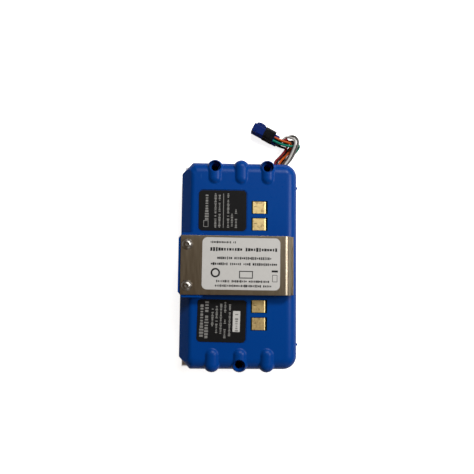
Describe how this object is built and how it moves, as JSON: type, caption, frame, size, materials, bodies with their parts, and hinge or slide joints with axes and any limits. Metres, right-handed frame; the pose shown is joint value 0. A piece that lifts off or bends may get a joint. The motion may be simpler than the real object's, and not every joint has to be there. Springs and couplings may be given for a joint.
{
  "type": "battery pack",
  "caption": "Clip-on rechargeable battery pack: ribbed moulded case with cells, charging contacts, sprung belt clip and a short wire harness ending in a latched plug.",
  "frame": {"origin": "centre of the inner cover's outer face, which the pack rests on", "axes": "+Z out of the belt-clip side, +Y towards the end that the harness leaves, +X towards the free end of the belt clip"},
  "size_m": [0.0656, 0.1355, 0.0284],
  "materials": {
    "case_blue": "fine moulded texture, satin",
    "cover_blue": "fine moulded texture",
    "seal_rubber": "matt rubber",
    "screw_steel": "bright stainless",
    "label_dark": "satin printed film",
    "sticker_white": "matt film sticker",
    "clip_steel": "polished spring stainless",
    "insert_brass": "machined",
    "contact_gold": "gold plated",
    "board_green": "solder mask",
    "fibre_sheet": "fibre sheet",
    "part_black": "moulded",
    "cell_steel": "nickel plated",
    "sleeve_wrap": "shrink film",
    "electrode_roll": "wound foil",
    "strap_nickel": "nickel strip",
    "foam_grey": "closed-cell foam",
    "insulation_red": "wire insulation",
    "insulation_orange": "wire insulation",
    "insulation_brown": "wire insulation",
    "insulation_white": "wire insulation",
    "insulation_green": "wire insulation",
    "insulation_grey": "wire insulation",
    "insulation_black": "wire insulation",
    "connector_blue": "moulded nylon",
    "terminal_tin": "tin plated",
    "tape_black": "vinyl tape"
  },
  "bodies": {
    "case": {"belt_clip_base": "clip_steel", "blocking_diodes": "part_black", "cap_rings": "fibre_sheet", "cell_can_1": "cell_steel", "cell_can_2": "cell_steel", "cell_can_3": "cell_steel", "cell_can_4": "cell_steel", "cell_can_5": "cell_steel", "cell_can_6": "cell_steel", "cell_caps": "cell_steel", "cell_foam": "foam_grey", "cell_rolls": "electrode_roll", "cell_sleeve_1": "sleeve_wrap", "cell_sleeve_2": "sleeve_wrap", "cell_sleeve_3": "sleeve_wrap", "cell_sleeve_4": "sleeve_wrap", "cell_sleeve_5": "sleeve_wrap", "cell_sleeve_6": "sleeve_wrap", "charge_contact_1": "contact_gold", "charge_contact_2": "contact_gold", "charge_contact_3": "contact_gold", "charge_contact_4": "contact_gold", "clip_inserts": "insert_brass", "clip_screws": "screw_steel", "connector_housing": "connector_blue", "connector_tape": "tape_black", "connector_terminals": "terminal_tin", "contact_board": "board_green", "cover_screws": "screw_steel", "cover_seal": "seal_rubber", "end_pads": "foam_grey", "end_tabs": "strap_nickel", "harness_board": "board_green", "inner_cover": "cover_blue", "insulating_sheet": "fibre_sheet", "lower_label": "label_dark", "rear_shell": "case_blue", "resettable_fuse": "part_black", "serial_sticker": "sticker_white", "straps_left": "strap_nickel", "straps_right": "strap_nickel", "thermistor": "part_black", "upper_label": "label_dark", "wire_black_long": "insulation_black", "wire_black_short": "insulation_black", "wire_brown": "insulation_brown", "wire_green": "insulation_green", "wire_grey": "insulation_grey", "wire_grommet": "seal_rubber", "wire_orange": "insulation_orange", "wire_red": "insulation_red", "wire_white": "insulation_white"},
    "clip_arm": {"belt_clip_arm": "clip_steel", "clip_label": "sticker_white"},
    "plug_latch": {"connector_latch": "connector_blue"}
  },
  "joints": [
    {"name": "clip_flex", "type": "hinge", "parent": "case", "child": "clip_arm", "pos_m": [-0.0202, -0.0006, 0.0269], "axis": [0, -1, 0], "range_deg": [0, 5], "stiffness_Nm_per_rad": 6},
    {"name": "latch_press", "type": "hinge", "parent": "case", "child": "plug_latch", "pos_m": [0.01575, 0.07712, 0.00392], "axis": [0, 0, 1], "range_deg": [0, 3.5], "stiffness_Nm_per_rad": 0.05}
  ]
}
